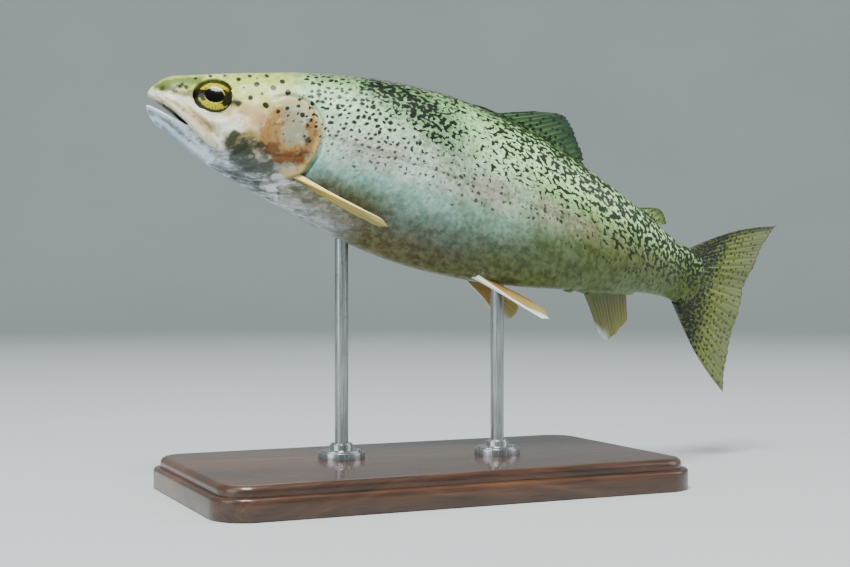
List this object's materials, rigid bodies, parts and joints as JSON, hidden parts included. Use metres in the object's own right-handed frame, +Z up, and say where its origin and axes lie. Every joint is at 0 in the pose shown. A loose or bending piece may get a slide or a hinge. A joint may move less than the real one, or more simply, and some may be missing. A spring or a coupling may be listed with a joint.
{
  "type": "rainbow trout model",
  "caption": "Life-size still model of a rainbow trout, swimming nose-up with its tail swept aside, held over a flat base by rods under the belly.",
  "frame": {"origin": "middle of the underside of the stand's base", "axes": "+Z up; the fish's length lies along X, with its head towards -X and its left side towards -Y"},
  "size_m": [0.2905, 0.104, 0.159],
  "materials": {
    "skin": "satin, spotted",
    "fin": "satin",
    "eye": "gloss",
    "dark_wood": "satin varnish",
    "steel": "brushed"
  },
  "bodies": {
    "root": {"head": "skin", "lower_jaw": "skin", "maxilla_left": "skin", "maxilla_right": "skin", "gill_cover_left": "skin", "gill_cover_right": "skin", "eye_left": "eye", "eye_right": "eye", "trunk": "skin", "tail": "skin", "dorsal_fin": "fin", "adipose_fin": "fin", "anal_fin": "fin", "caudal_fin": "fin", "pectoral_fin_left": "fin", "pectoral_fin_right": "fin", "pelvic_fin_left": "fin", "pelvic_fin_right": "fin", "stand_base": "dark_wood", "stand_foot_front": "steel", "stand_foot_rear": "steel", "stand_rod_front": "steel", "stand_rod_rear": "steel"}
  },
  "joints": []
}
